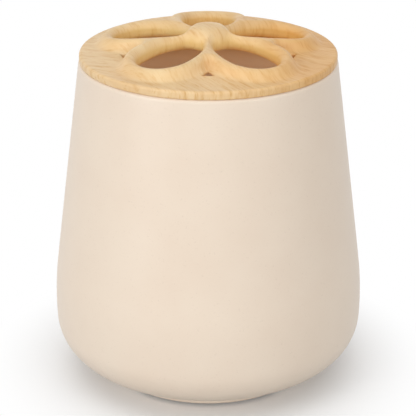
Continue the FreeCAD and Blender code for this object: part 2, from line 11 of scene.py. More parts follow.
import bpy
import numpy as np
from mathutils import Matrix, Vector


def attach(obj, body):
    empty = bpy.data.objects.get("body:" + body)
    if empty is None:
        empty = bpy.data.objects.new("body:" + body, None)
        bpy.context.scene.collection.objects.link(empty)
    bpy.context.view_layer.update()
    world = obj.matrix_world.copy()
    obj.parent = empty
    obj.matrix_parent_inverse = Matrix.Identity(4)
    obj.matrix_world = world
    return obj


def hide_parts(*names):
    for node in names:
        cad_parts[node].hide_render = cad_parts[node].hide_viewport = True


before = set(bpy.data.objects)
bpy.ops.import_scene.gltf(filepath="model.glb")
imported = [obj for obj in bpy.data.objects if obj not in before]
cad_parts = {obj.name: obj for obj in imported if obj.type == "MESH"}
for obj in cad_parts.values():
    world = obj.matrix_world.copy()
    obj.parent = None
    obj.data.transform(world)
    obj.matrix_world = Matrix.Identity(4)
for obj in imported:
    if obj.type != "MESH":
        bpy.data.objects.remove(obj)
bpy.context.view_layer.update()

scene = bpy.context.scene
MM = 0.001
print("nodes:", sorted(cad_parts))

# %% [markdown]
# The camera comes first, because every later choice is judged through it. A pinhole
# camera was fitted to the outlines of the lid and the cup: it stands 520 mm from the
# middle of the holder and looks down by 23 degrees. A long lens keeps the perspective
# as flat as in the picture, and a very small shift puts the holder where it stands
# in the frame.

# %% Camera
PICTURE_WIDTH = 416.0
SENSOR_WIDTH = 36.0
FOCAL_PIXELS = 1654.75
CAMERA_DISTANCE = 520.0 * MM
CAMERA_TILT = math.radians(22.98)
CAMERA_TARGET = Vector((0.0, 0.0, 51.855 * MM))
PICTURE_CENTRE = (208.3, 210.61)
CLIP_NEAR = 0.01
CLIP_FAR = 20.0

lens = bpy.data.cameras.new("photo_camera")
camera = bpy.data.objects.new("photo_camera", lens)
scene.collection.objects.link(camera)
view_back = Vector((0.0, -math.cos(CAMERA_TILT), math.sin(CAMERA_TILT)))
camera.location = CAMERA_TARGET + view_back * CAMERA_DISTANCE
camera.rotation_euler = (-view_back).to_track_quat("-Z", "Y").to_euler()
lens.sensor_width = SENSOR_WIDTH
lens.lens = FOCAL_PIXELS * SENSOR_WIDTH / PICTURE_WIDTH
lens.shift_x = (PICTURE_WIDTH / 2 - PICTURE_CENTRE[0]) / PICTURE_WIDTH
lens.shift_y = (PICTURE_CENTRE[1] - PICTURE_WIDTH / 2) / PICTURE_WIDTH
lens.clip_start = CLIP_NEAR
lens.clip_end = CLIP_FAR
scene.camera = camera
print("lens in mm:", round(lens.lens, 1))

# %% [markdown]
# Finishes are built from nodes, so a few small helpers save much typing. One adds a
# node and sets its values by name, and one starts a material. The next ones add a
# Math, Map Range, Mix or Color Ramp node together with what feeds it. The last turns
# a colour as a screen shows it into the linear numbers that shaders take.

# %% Node helpers
def add_node(tree, kind, place, **values):
    """Add a node at a place in the editor; a value is a setting of the node or a constant of an input."""
    made = tree.nodes.new(kind)
    made.location = place
    for name, value in values.items():
        if hasattr(made, name):
            setattr(made, name, value)
        else:
            made.inputs[name.replace("_", " ")].default_value = value
    return made


def new_material(name):
    """A new material, with its node tree, its Principled shader and its output node."""
    material = bpy.data.materials.new(name)
    material.use_nodes = True
    tree = material.node_tree
    return material, tree, tree.nodes["Principled BSDF"], tree.nodes["Material Output"]


def feed(tree, socket, value):
    """Feed a socket: with a link if the value is another node's socket, or else with a constant."""
    if isinstance(value, bpy.types.NodeSocket):
        tree.links.new(value, socket)
    else:
        socket.default_value = value


def math_node(tree, place, operation, *values, clamp=False):
    """A Math node; each value is a number or the socket that feeds it."""
    made = add_node(tree, "ShaderNodeMath", place, operation=operation, use_clamp=clamp)
    for socket, value in zip(made.inputs, values):
        feed(tree, socket, value)
    return made.outputs[0]


def smooth_step(tree, place, value, start, end):
    """A Map Range node: nought at the start, one at the end, and an even S-shaped way between them."""
    made = add_node(tree, "ShaderNodeMapRange", place, interpolation_type="SMOOTHSTEP",
                    From_Min=start, From_Max=end)
    tree.links.new(value, made.inputs["Value"])
    return made.outputs["Result"]


def mixed(tree, place, one, two, share=1.0, blend_type="MIX"):
    """A Mix node for two colours; each colour and the share is a value or the socket that feeds it."""
    made = add_node(tree, "ShaderNodeMix", place, data_type="RGBA", blend_type=blend_type)
    feed(tree, made.inputs["A"], one)
    feed(tree, made.inputs["B"], two)
    feed(tree, made.inputs["Factor"], share)
    return made.outputs["Result"]


def ramp(tree, place, factor, stops):
    """A Color Ramp fed by a factor, with stops given as position and colour."""
    made = add_node(tree, "ShaderNodeValToRGB", place)
    elements = made.color_ramp.elements
    while len(elements) < len(stops):
        elements.new(1.0)
    for element, (position, colour) in zip(elements, stops):
        element.position = position
        element.color = (*colour, 1.0)
    tree.links.new(factor, made.inputs["Fac"])
    return made.outputs["Color"]


def srgb(red, green, blue):
    """A display colour from 0 to 255 as the linear colour that shaders take.

    Near black the share of 255 is divided by 12.92. Above that it is raised by 0.055, divided
    by 1.055 and taken to the power of 2.4.
    """
    share = np.array([red, green, blue]) / 255.0
    linear = np.where(share <= 0.04045, share / 12.92, ((share + 0.055) / 1.055) ** 2.4)
    return tuple(float(value) for value in linear)


print("cream as a linear colour:", [round(value, 3) for value in srgb(238, 222, 203)])

# %% [markdown]
# The picture is a plain studio shot on white. A tall soft lamp stands on the left, a
# broad one in front, weaker ones on the right, behind and above, and the world gives
# an even glow. Their powers were found by rendering each alone and looking for the sum
# that comes nearest to the brightness of the cup in the picture, and were then trimmed.
# The lamps in front and behind stay out of reflections, so that the sheen on the
# glaze comes mainly from the left. A faint warm lamp inside the cup stands for light
# that bounces there more often than the renderer follows. The camera, and mirror and
# glass paths, see the world as plain white, so the white comes from the background and
# not from more light on the holder.

# %% World and lamps
WORLD_GLOW = 0.48
LAMPS = [
    # name, place in metres, width and height in metres, power in watts
    ("left_lamp", (-1.1, -0.9, 0.45), (0.6, 1.1), 8.1),
    ("front_lamp", (0.0, -1.4, 0.5), (0.9, 0.9), 4.85),
    ("right_lamp", (1.1, -0.8, 0.5), (0.9, 0.9), 3.3),
    ("back_lamp", (0.0, 1.4, 0.5), (0.9, 0.9), 3.5),
    ("top_lamp", (-0.2, -0.1, 1.5), (1.0, 1.0), 2.8),
]
UNREFLECTED = ("front_lamp", "back_lamp")
INSIDE_PLACE = (0.006, 0.002, 0.090)
INSIDE_RADIUS = 0.02
INSIDE_POWER = 0.0068
INSIDE_COLOUR = (1.0, 0.58, 0.30)
WHITE = (1.0, 1.0, 1.0, 1.0)

world = bpy.data.worlds.new("white_studio")
scene.world = world
world.use_nodes = True
tree = world.node_tree
glow = tree.nodes["Background"]
glow.inputs["Color"].default_value = WHITE
glow.inputs["Strength"].default_value = WORLD_GLOW
white = add_node(tree, "ShaderNodeBackground", (0, -160), Color=WHITE, Strength=1.0)
rays = add_node(tree, "ShaderNodeLightPath", (-500, 300))


def seen_directly(tree, rays, place):
    """One for camera, mirror and glass paths, and zero for light that falls on the holder."""
    seen = math_node(tree, place, "MAXIMUM", rays.outputs["Is Camera Ray"], rays.outputs["Is Glossy Ray"])
    return math_node(tree, place, "MAXIMUM", seen, rays.outputs["Is Transmission Ray"])


mix = add_node(tree, "ShaderNodeMixShader", (250, 100))
tree.links.new(seen_directly(tree, rays, (-200, 300)), mix.inputs["Fac"])
tree.links.new(glow.outputs["Background"], mix.inputs[1])
tree.links.new(white.outputs["Background"], mix.inputs[2])
tree.links.new(mix.outputs["Shader"], tree.nodes["World Output"].inputs["Surface"])

for name, place, (width, height), power in LAMPS:
    lamp = bpy.data.lights.new(name, "AREA")
    lamp.shape = "RECTANGLE"
    lamp.size = width
    lamp.size_y = height
    lamp.energy = power
    holder = bpy.data.objects.new(name, lamp)
    scene.collection.objects.link(holder)
    holder.location = place
    holder.rotation_euler = (CAMERA_TARGET - holder.location).to_track_quat("-Z", "Y").to_euler()
    holder.visible_glossy = name not in UNREFLECTED
inner_light = bpy.data.lights.new("inside_lamp", "POINT")
inner_light.energy = INSIDE_POWER
inner_light.color = INSIDE_COLOUR
inner_light.shadow_soft_size = INSIDE_RADIUS
holder = bpy.data.objects.new("inside_lamp", inner_light)
scene.collection.objects.link(holder)
holder.location = INSIDE_PLACE
holder.visible_camera = False
scene.view_settings.view_transform = "Standard"
print("lamps:", [name for name, *_ in LAMPS], "and", inner_light.name)

# %% [markdown]
# The floor is one pale sheet under the holder. Close to the foot it is a plain matt
# surface that takes the shadow; further out it turns into the white of the
# background, so that no edge of the floor shows. For light that bounces up off it the
# floor counts as darker, because in the picture the heel of the cup turns away from
# the light into a clear shade.

# %% Floor
FLOOR_HALF = 3.0
FLOOR_MATT_RADIUS = 0.034
FLOOR_WHITE_RADIUS = 0.074
FLOOR_SEEN = 1.0
FLOOR_BOUNCE = 0.46

floor_mesh = bpy.data.meshes.new("floor")
corners = np.array([(-1, -1, 0), (1, -1, 0), (1, 1, 0), (-1, 1, 0)]) * FLOOR_HALF
floor_mesh.from_pydata(corners.tolist(), [], [(0, 1, 2, 3)])
floor = bpy.data.objects.new("floor", floor_mesh)
scene.collection.objects.link(floor)

pale, tree, matt, output = new_material("pale_floor")
floor_mesh.materials.append(pale)
matt.inputs["Roughness"].default_value = 0.9
matt.inputs["Specular IOR Level"].default_value = 0.1
where = add_node(tree, "ShaderNodeTexCoord", (-900, -200))
away = add_node(tree, "ShaderNodeVectorMath", (-700, -200), operation="LENGTH")
tree.links.new(where.outputs["Object"], away.inputs[0])
fade = smooth_step(tree, (-500, -200), away.outputs["Value"], FLOOR_MATT_RADIUS, FLOOR_WHITE_RADIUS)
rays = add_node(tree, "ShaderNodeLightPath", (-900, 200))
seen = seen_directly(tree, rays, (-500, 200))
share = math_node(tree, (-250, 0), "MULTIPLY", seen, fade)
paleness = ramp(tree, (-350, 400), rays.outputs["Is Diffuse Ray"],
                [(0.0, (FLOOR_SEEN,) * 3), (1.0, (FLOOR_BOUNCE,) * 3)])
tree.links.new(paleness, matt.inputs["Base Color"])
white = add_node(tree, "ShaderNodeEmission", (0, -300), Color=WHITE, Strength=1.0)
mix = add_node(tree, "ShaderNodeMixShader", (300, 0))
tree.links.new(share, mix.inputs["Fac"])
tree.links.new(matt.outputs["BSDF"], mix.inputs[1])
tree.links.new(white.outputs["Emission"], mix.inputs[2])
tree.links.new(mix.outputs["Shader"], output.inputs["Surface"])
print("floor:", FLOOR_HALF * 2, "m wide")

# %% [markdown]
# The cup, the seal ring and the pads are round, so each is a section turned about an
# axis. The section is a list of points, and the turned surface is a grid with the
# section along one side and the angle along the other: a point of the section at
# radius r and height z goes to (r cos a, r sin a, z). All angles are worked out at
# once, as one array. Blender's Screw modifier could turn a drawn curve as well, but a
# list of points keeps every radius and arc a plain number. From here on lengths are in
# millimetres, and a piece is scaled to metres when it becomes a mesh.

# %% Turning a section
def arc(centre, radius, first, last, count):
    """Points on a circle: the centre plus the radius times the cosine and sine of evenly spaced angles."""
    angles = np.linspace(first, last, count)
    return np.column_stack([centre[0] + radius * np.cos(angles), centre[1] + radius * np.sin(angles)])


def line(start, end, count):
    """Evenly spaced points: the start plus a share from 0 to 1 of the way to the end."""
    share = np.linspace(0.0, 1.0, count)[:, None]
    return np.asarray(start) * (1 - share) + np.asarray(end) * share


def rounded_corner(before, corner, after, radius, count=9):
    """The arc that rounds a corner: it touches both sides at radius / tan(half the angle) from it."""
    before, corner, after = (np.asarray(point, float) for point in (before, corner, after))
    one = (before - corner) / np.linalg.norm(before - corner)
    two = (after - corner) / np.linalg.norm(after - corner)
    half = math.acos(np.clip(one @ two, -1.0, 1.0)) / 2
    middle = (one + two) / np.linalg.norm(one + two)
    centre = corner + middle * radius / math.sin(half)
    start = corner + one * radius / math.tan(half) - centre
    end = corner + two * radius / math.tan(half) - centre
    share = np.linspace(0.0, 1.0, count)[:, None]
    turned = start * (1 - share) + end * share
    return centre + turned / np.linalg.norm(turned, axis=1)[:, None] * radius


def turned_surface(section, count, closed):
    """Turn a section about the vertical axis; an open section starts and ends on that axis.

    Ring k of the grid holds the section's point k at every angle. Neighbouring rings are
    joined by four-sided faces, and the two ends of an open section by a fan of triangles.
    """
    angles = np.arange(count) * 2 * np.pi / count
    rings = section if closed else section[1:-1]
    points = np.stack([rings[:, :1] * np.cos(angles), rings[:, :1] * np.sin(angles),
                       np.repeat(rings[:, 1:], count, axis=1)], axis=-1).reshape(-1, 3)
    ring_count = len(rings)
    low = np.arange(ring_count if closed else ring_count - 1)[:, None] * count
    high = (np.arange(1, ring_count + 1 if closed else ring_count)[:, None] % ring_count) * count
    here = np.arange(count)[None, :]
    after = (here + 1) % count
    quads = np.stack([low + here, low + after, high + after, high + here], axis=-1).reshape(-1, 4)
    if closed:
        return points, quads, np.zeros((0, 3), int)
    poles = np.array([[0.0, 0.0, section[0, 1]], [0.0, 0.0, section[-1, 1]]])
    first_pole = len(points)
    last = (ring_count - 1) * count
    here, after = here[0], after[0]
    start_fan = np.column_stack([np.full(count, first_pole), after, here])
    end_fan = np.column_stack([np.full(count, first_pole + 1), last + here, last + after])
    return np.vstack([points, poles]), quads, np.vstack([start_fan, end_fan])


def turned_values(values, count):
    """A value for each point of an open section, spread over the points of the turned surface."""
    return np.concatenate([np.repeat(values[1:-1], count), values[[0, -1]]])


def new_piece(name, points, quads, triangles, sharp_degrees=None):
    """Put points in millimetres and faces into a mesh and link its object, smooth shaded."""
    mesh = bpy.data.meshes.new(name)
    mesh.from_pydata(points * MM, [], [*quads.tolist(), *triangles.tolist()])
    mesh.shade_smooth()
    if sharp_degrees is not None:
        mesh.set_sharp_from_angle(angle=math.radians(sharp_degrees))
    piece = bpy.data.objects.new(name, mesh)
    scene.collection.objects.link(piece)
    print(f"{name}: {len(points)} points, {2 * len(quads) + len(triangles)} triangles")
    return piece


def mark_points(piece, name, values):
    """Store one number for each point of a piece, under a name by which its finish reads it."""
    marks = piece.data.attributes.new(name, "FLOAT", "POINT")
    marks.data.foreach_set("value", values.astype(np.float32))


# %% [markdown]
# The cup's section is a straight wall that leans in towards the mouth, a long arc for
# the belly, a tight arc for the heel and a shallow slope under it, down to a low foot
# ring. The arcs touch without a kink, as they do on a cast cup, so their centres are
# worked out from the touching circles. A curve drawn by eye would show dents in such
# soft light. The inside follows the same arcs, one wall thickness in.

# %% The cup's section
RIM_HEIGHT = 101.95
MOUTH_RADIUS = 39.2
BELLY_RADIUS = 48.4
BELLY_HEIGHT = 23.7
BELLY_ARC = 107.0
HEEL_ARC = 14.3
UNDERSIDE_SLOPE = math.radians(18.0)
FOOT_RADIUS = 32.8
FOOT_BOTTOM = 1.0
UNDERSIDE_HEIGHT = 3.8
CUP_WALL = 3.6
RIM_ROUND = 1.2
RECESS_RADIUS = 23.8
RECESS_HEIGHT = 2.4
RECESS_ROUND = 0.35
RECESS_EDGE_ROUND = 0.3
RECESS_FLAT_SHORT = 0.4
FOOT_EDGE_ROUND = 0.6
FOOT_NECK_ROUND = 1.0
INNER_FLOOR_ROUND = 6.0
INNER_FLAT_SHORT = 2.0
HEEL_POINTS = 26
BELLY_POINTS = 44
WALL_POINTS = 30
FLAT_POINTS = 8
CORNER_POINTS = 7
SMALL_CORNER_POINTS = 5
CUP_STEPS = 224
SHARP_DEGREES = 50


def cup_side(inset, floor_height):
    """The way up one side of the cup: slope, heel arc, belly arc and the wall's end point.

    The heel's circle touches the belly's from inside, so its centre lies at the difference
    of the two radii from the belly's centre, and one heel radius above the slope. The wall
    is the tangent from the rim to the belly's circle.
    """
    belly, heel = BELLY_ARC - inset, HEEL_ARC - inset
    belly_centre = np.array([BELLY_RADIUS - BELLY_ARC, BELLY_HEIGHT])
    foot = np.array([FOOT_RADIUS - inset, floor_height])
    rim = np.array([MOUTH_RADIUS - inset, RIM_HEIGHT])
    along = np.array([math.cos(UNDERSIDE_SLOPE), math.sin(UNDERSIDE_SLOPE)])
    inward = np.array([-along[1], along[0]])
    to_heel = foot + inward * heel - belly_centre
    reach = belly - heel
    run = math.sqrt((to_heel @ along) ** 2 - to_heel @ to_heel + reach ** 2) - to_heel @ along
    heel_centre = belly_centre + to_heel + along * run
    to_rim = rim - belly_centre
    wall_angle = math.atan2(to_rim[1], to_rim[0]) - math.acos(belly / np.linalg.norm(to_rim))
    join_angle = math.atan2(*(heel_centre - belly_centre)[::-1])
    return (arc(heel_centre, heel, UNDERSIDE_SLOPE - math.pi / 2, join_angle, HEEL_POINTS),
            arc(belly_centre, belly, join_angle, wall_angle, BELLY_POINTS), foot, rim)


outer_heel, outer_belly, outer_foot, outer_rim = cup_side(0.0, UNDERSIDE_HEIGHT)
inner_heel, inner_belly, inner_foot, inner_rim = cup_side(CUP_WALL, UNDERSIDE_HEIGHT + CUP_WALL)
foot_corner = (FOOT_RADIUS, FOOT_BOTTOM)
recess_corner = (RECESS_RADIUS, RECESS_HEIGHT)
recess_edge = (RECESS_RADIUS, FOOT_BOTTOM)
outer_rim_round = rounded_corner(outer_belly[-1], outer_rim, inner_rim, RIM_ROUND)
inner_rim_round = rounded_corner(outer_rim, inner_rim, inner_belly[-1], RIM_ROUND)
outside = np.vstack([
    line((0.0, RECESS_HEIGHT), (RECESS_RADIUS - RECESS_FLAT_SHORT, RECESS_HEIGHT), FLAT_POINTS),
    rounded_corner((0.0, RECESS_HEIGHT), recess_corner, recess_edge, RECESS_ROUND, SMALL_CORNER_POINTS),
    rounded_corner(recess_corner, recess_edge, foot_corner, RECESS_EDGE_ROUND, SMALL_CORNER_POINTS),
    rounded_corner(recess_edge, foot_corner, outer_foot, FOOT_EDGE_ROUND, CORNER_POINTS),
    rounded_corner(foot_corner, outer_foot, outer_heel[0], FOOT_NECK_ROUND, CORNER_POINTS),
    outer_heel,
    outer_belly[1:],
    line(outer_belly[-1], outer_rim_round[0], WALL_POINTS)[1:-1],
    outer_rim_round,
])
inside = np.vstack([
    inner_rim_round,
    line(inner_rim_round[-1], inner_belly[-1], WALL_POINTS)[1:-1],
    inner_belly[::-1],
    inner_heel[::-1][1:],
    rounded_corner(inner_heel[0], inner_foot, (0.0, inner_foot[1]), INNER_FLOOR_ROUND, CORNER_POINTS),
    line((inner_foot[0] - INNER_FLAT_SHORT, inner_foot[1]), (0.0, inner_foot[1]), FLAT_POINTS),
])
cup_section = np.vstack([outside, inside])
cup_shell = new_piece("cup_shell", *turned_surface(cup_section, CUP_STEPS, closed=False), SHARP_DEGREES)
is_inside = np.repeat([0.0, 1.0], [len(outside), len(inside)])
mark_points(cup_shell, "inner_wall", turned_values(is_inside, CUP_STEPS))

# %% [markdown]
# Four soft pads lift the foot off the washstand. Each is a small turned disc with a
# rounded lower edge, moved to its place on the foot ring. Its top reaches a hair into
# the foot, so that no light shows between the two.

# %% Foot pads
PAD_RADIUS = 3.5
PAD_ROUND = 0.4
PAD_TOP = 1.06
PAD_RING = 28.3
PAD_COUNT = 4
PAD_STEPS = 40

pad_section = np.vstack([
    [(0.0, 0.0)],
    rounded_corner((0.0, 0.0), (PAD_RADIUS, 0.0), (PAD_RADIUS, PAD_TOP), PAD_ROUND, CORNER_POINTS),
    [(PAD_RADIUS, PAD_TOP), (0.0, PAD_TOP)],
])
pad_points, pad_quads, pad_fans = turned_surface(pad_section, PAD_STEPS, closed=False)
soft_pads = []
for number in range(PAD_COUNT):
    turn = math.pi / PAD_COUNT + number * 2 * math.pi / PAD_COUNT
    shift = np.array([PAD_RING * math.cos(turn), PAD_RING * math.sin(turn), 0.0])
    pad = new_piece(f"soft_pad_{number + 1}", pad_points + shift, pad_quads, pad_fans, SHARP_DEGREES)
    soft_pads.append(pad)

# %% [markdown]
# A soft ring in the lid's spigot keeps the lid from rattling. Its section has a band
# and two fins that reach out to the cup. The section is a closed loop, so the turned
# surface closes on itself like a tyre. It only shows when the lid is lifted.

# %% Seal ring
SEAL_INNER = 33.58
SEAL_BAND = 34.58
SEAL_OUTER = 35.4
SEAL_TOP = 99.82
SEAL_FOOT = 96.78
FIN = 0.7
FIN_ROUND = 0.28
BAND_ROUND = 0.2
SEAL_STEPS = 200
SEAL_SHARP_DEGREES = 60

seal_corners = [
    ((SEAL_INNER, SEAL_FOOT), BAND_ROUND),
    ((SEAL_OUTER, SEAL_FOOT), FIN_ROUND),
    ((SEAL_OUTER, SEAL_FOOT + FIN), FIN_ROUND),
    ((SEAL_BAND, SEAL_FOOT + FIN), BAND_ROUND),
    ((SEAL_BAND, SEAL_TOP - FIN), BAND_ROUND),
    ((SEAL_OUTER, SEAL_TOP - FIN), FIN_ROUND),
    ((SEAL_OUTER, SEAL_TOP), FIN_ROUND),
    ((SEAL_INNER, SEAL_TOP), BAND_ROUND),
]
seal_section = np.vstack([
    rounded_corner(seal_corners[k - 1][0], corner, seal_corners[(k + 1) % len(seal_corners)][0],
                   radius, SMALL_CORNER_POINTS)
    for k, (corner, radius) in enumerate(seal_corners)
])
seal_surface = turned_surface(seal_section, SEAL_STEPS, closed=True)
seal_ring = new_piece("seal_ring", *seal_surface, SEAL_SHARP_DEGREES)

# %% [markdown]
# The lid is one piece of wood: a flat disc, and on it five round bars that run into
# each other, into the hub and down into the disc with no edge between them. Tubes laid
# along paths would cut into each other with hard seams, and a grid over the disc can't
# go round the holes. So the lid is drawn as a field: at every point of space a number
# says how far the point is outside the wood. Simple fields, such as a disc, a dome or
# a hole, are joined and cut with rounded corners, and the surface is where the field
# is zero.
#
# The flower repeats five times, so a point is first folded into one slice: q is its
# place along the nearest spoke and d its place across it.

# %% The lid's plan as distances
LID_TOP = 104.5
LID_RADIUS = 39.0
LID_EDGE = 2.55
PETAL_COUNT = 5
HALF_PITCH = math.pi / PETAL_COUNT
PETAL_CENTRE = 22.0
PETAL_END = 8.0
PETAL_SIDE = 23.0
PETAL_CORNER = 1.4
HUB_RADIUS = 6.8
HALF_SPOKE = 1.45
BAR_WIDTH = 4.2
NOTCH_ROUND = 1.7
LOBE_RADIUS = PETAL_END + BAR_WIDTH
LOBE = np.array([PETAL_CENTRE * math.cos(HALF_PITCH), PETAL_CENTRE * math.sin(HALF_PITCH)])
NOTCH = LOBE[0] + math.sqrt((LOBE_RADIUS + NOTCH_ROUND) ** 2 - LOBE[1] ** 2)
GAP_TIP = 22.6
GAP_FOOT = 26.9
GAP_HALF = 2.0
GAP_BLUNT = 0.35
GAP_CORNER = 0.4


def round_cut(one, two, radius):
    """What lies in both fields, the edge between them rounded: the usual larger value, but within one
    radius of both surfaces the length of the two values, each raised by the radius."""
    near_both = np.hypot(np.maximum(one + radius, 0), np.maximum(two + radius, 0))
    return np.minimum(np.maximum(one, two), -radius) + near_both


def round_join(one, two, radius):
    """What lies in either field, with a hollow fillet of that radius where the two meet."""
    near_both = np.hypot(np.maximum(radius - one, 0), np.maximum(radius - two, 0))
    return np.maximum(np.minimum(one, two), radius) - near_both


def folded(x, y):
    """The place along and across the nearest spoke: the angle from the front, folded into half a pitch."""
    radius = np.hypot(x, y)
    angle = np.arctan2(y, x) + np.pi / 2
    angle = np.abs(np.mod(angle + HALF_PITCH, 2 * HALF_PITCH) - HALF_PITCH)
    return radius * np.cos(angle), radius * np.sin(angle), radius


def crossing(centre, radius, other, other_radius):
    """The crossing of two circles on the right of the way between their centres."""
    way = other - centre
    apart = np.linalg.norm(way)
    forward = (radius ** 2 - other_radius ** 2 + apart ** 2) / (2 * apart)
    aside = math.sqrt(radius ** 2 - forward ** 2)
    return centre + way / apart * forward + np.array([way[1], -way[0]]) / apart * aside


sharp_angle = HALF_PITCH - math.asin(HALF_SPOKE / HUB_RADIUS)
sharp = HUB_RADIUS * np.array([math.cos(sharp_angle), math.sin(sharp_angle)])
end_centre = np.array([PETAL_CENTRE, 0.0])
SIDE_CENTRE = crossing(sharp, PETAL_SIDE, end_centre, PETAL_SIDE - PETAL_END)


def petal_field(q, d, radius):
    """Distance to a brush hole, less than zero inside it.

    u and v are along and across the petal's own middle line. Past the line from the side's
    centre to the end's centre the round end bounds the hole, and before it the bowed side;
    the hub's circle closes it towards the middle, with rounded corners.
    """
    u = q * math.cos(HALF_PITCH) + d * math.sin(HALF_PITCH)
    v = np.abs(q * math.sin(HALF_PITCH) - d * math.cos(HALF_PITCH))
    way = end_centre - SIDE_CENTRE
    past = way[0] * (v - SIDE_CENTRE[1]) - way[1] * (u - SIDE_CENTRE[0]) < 0
    round_end = np.hypot(u - PETAL_CENTRE, v) - PETAL_END
    bowed_side = np.hypot(u - SIDE_CENTRE[0], v - SIDE_CENTRE[1]) - PETAL_SIDE
    return round_cut(np.where(past, round_end, bowed_side), HUB_RADIUS - radius, PETAL_CORNER)


def flower_field(q, d):
    """Distance to the flower's outline: a lobe's circle, or between two lobes the notch's circle."""
    way = np.array([NOTCH, 0.0]) - LOBE
    between = way[0] * (d - LOBE[1]) - way[1] * (q - LOBE[0]) < 0
    notch = NOTCH_ROUND - np.hypot(q - NOTCH, d)
    lobe = np.hypot(q - LOBE[0], d - LOBE[1]) - LOBE_RADIUS
    return np.where(between, notch, lobe)


def gap_field(q, d):
    """Distance to the small three-cornered gap between two rings and the disc."""
    length = math.hypot(GAP_FOOT - GAP_TIP, GAP_HALF)
    slant = (np.hypot(d, GAP_BLUNT) * (GAP_FOOT - GAP_TIP) - (q - GAP_TIP) * GAP_HALF) / length
    return round_cut(q - GAP_FOOT, slant, GAP_CORNER)


print("side centre of a petal:", np.round(SIDE_CENTRE, 2), "notch at", round(NOTCH, 2))

# %% [markdown]
# Heights come next. The disc swells a little from its rim towards the flower. The top of
# the flower is a low dome that falls faster towards the outer ring, with a knob over the
# hub. The hollow below it is a shallow bowl. The bars get round backs, because the cuts
# along each hole and along the outline are widely rounded: the two radii together are a
# little more than the width of a bar.

# %% The lid as one field
CROWN_BASE = 5.72
CROWN_FALL = 8.3e-5
KNOB_RISE = 2.36
KNOB_REACH = 6.84
HOLLOW_TOP = 1.3
HOLLOW_RADIUS = 31.2
BAR_ROUND = 2.0
HOLE_ROUND = 2.8
BELOW_ROUND = 1.8
VALLEY_ROUND = 2.2
GAP_ROUND = 0.45
LID_TOP_ROUND = 0.8
LID_FOOT_ROUND = 0.3
SWELL_RISE = 0.9
SWELL_START = 37.5
SWELL_END = 25.0
SPIGOT_OUTER = 34.7
SPIGOT_INNER = 31.3
SPIGOT_FOOT = -9.7
GROOVE_FLOOR = 33.5
GROOVE_MIDDLE = -6.2
GROOVE_HALF = 1.6
SPIGOT_ROUND = 0.5
GROOVE_ROUND = 0.3
SPIGOT_FILLET = 0.5


def lid_field(x, y, z):
    """How far a point is outside the lid's wood, with heights from the top of the disc."""
    q, d, radius = folded(x, y)
    knob = KNOB_RISE * np.exp(-(radius / KNOB_REACH) ** 3)
    crown = CROWN_BASE - CROWN_FALL * radius ** 3 + knob
    crown_slope = -3 * CROWN_FALL * radius ** 2 - knob * 3 * radius ** 2 / KNOB_REACH ** 3
    bowl_fall = (HOLLOW_TOP + LID_EDGE) / HOLLOW_RADIUS ** 2
    bowl = HOLLOW_TOP - bowl_fall * radius ** 2
    flower = round_cut(flower_field(q, d), (z - crown) / np.hypot(1, crown_slope), BAR_ROUND)
    swell = np.clip((SWELL_START - radius) / (SWELL_START - SWELL_END), 0.0, 1.0)
    disc_top = SWELL_RISE * swell * swell * (3 - 2 * swell)
    disc = round_cut(radius - LID_RADIUS, z - disc_top, LID_TOP_ROUND)
    wood = round_join(flower, disc, VALLEY_ROUND)
    wood = round_cut(wood, -petal_field(q, d, radius), HOLE_ROUND)
    wood = round_cut(wood, -gap_field(q, d), GAP_ROUND)
    wood = round_cut(wood, -LID_EDGE - z, np.where(radius < SPIGOT_OUTER, BELOW_ROUND, LID_FOOT_ROUND))
    wood = round_cut(wood, (bowl - z) / np.hypot(1, 2 * bowl_fall * radius), BELOW_ROUND)
    middle = (SPIGOT_OUTER + SPIGOT_INNER) / 2
    spigot_wall = np.abs(radius - middle) - (SPIGOT_OUTER - SPIGOT_INNER) / 2
    spigot = round_cut(spigot_wall, SPIGOT_FOOT - z, SPIGOT_ROUND)
    spigot = np.maximum(spigot, z + LID_EDGE / 2)
    groove = np.maximum(GROOVE_FLOOR - radius, np.abs(z - GROOVE_MIDDLE) - GROOVE_HALF)
    return round_join(wood, round_cut(spigot, -groove, GROOVE_ROUND), SPIGOT_FILLET)


print("field at the top of the knob:", round(float(lid_field(0.0, 1e-6, CROWN_BASE + KNOB_RISE)), 3))

# %% [markdown]
# To turn the field into a mesh, space is cut into small cubes. Each cube that the
# surface passes gets one point, at the mean of the places where the surface crosses
# the cube's edges. Each edge of the grid that the surface crosses joins the four cubes
# around it with one face. A few steps along the field's slope then pull every point
# exactly onto the surface, and the slope itself gives the normals, so the bars shade
# as smoothly as turned wood.

# %% From field to mesh
LID_PITCH = 0.43
LID_MARGIN = 1.0
LEAST_SLOPE = 0.2


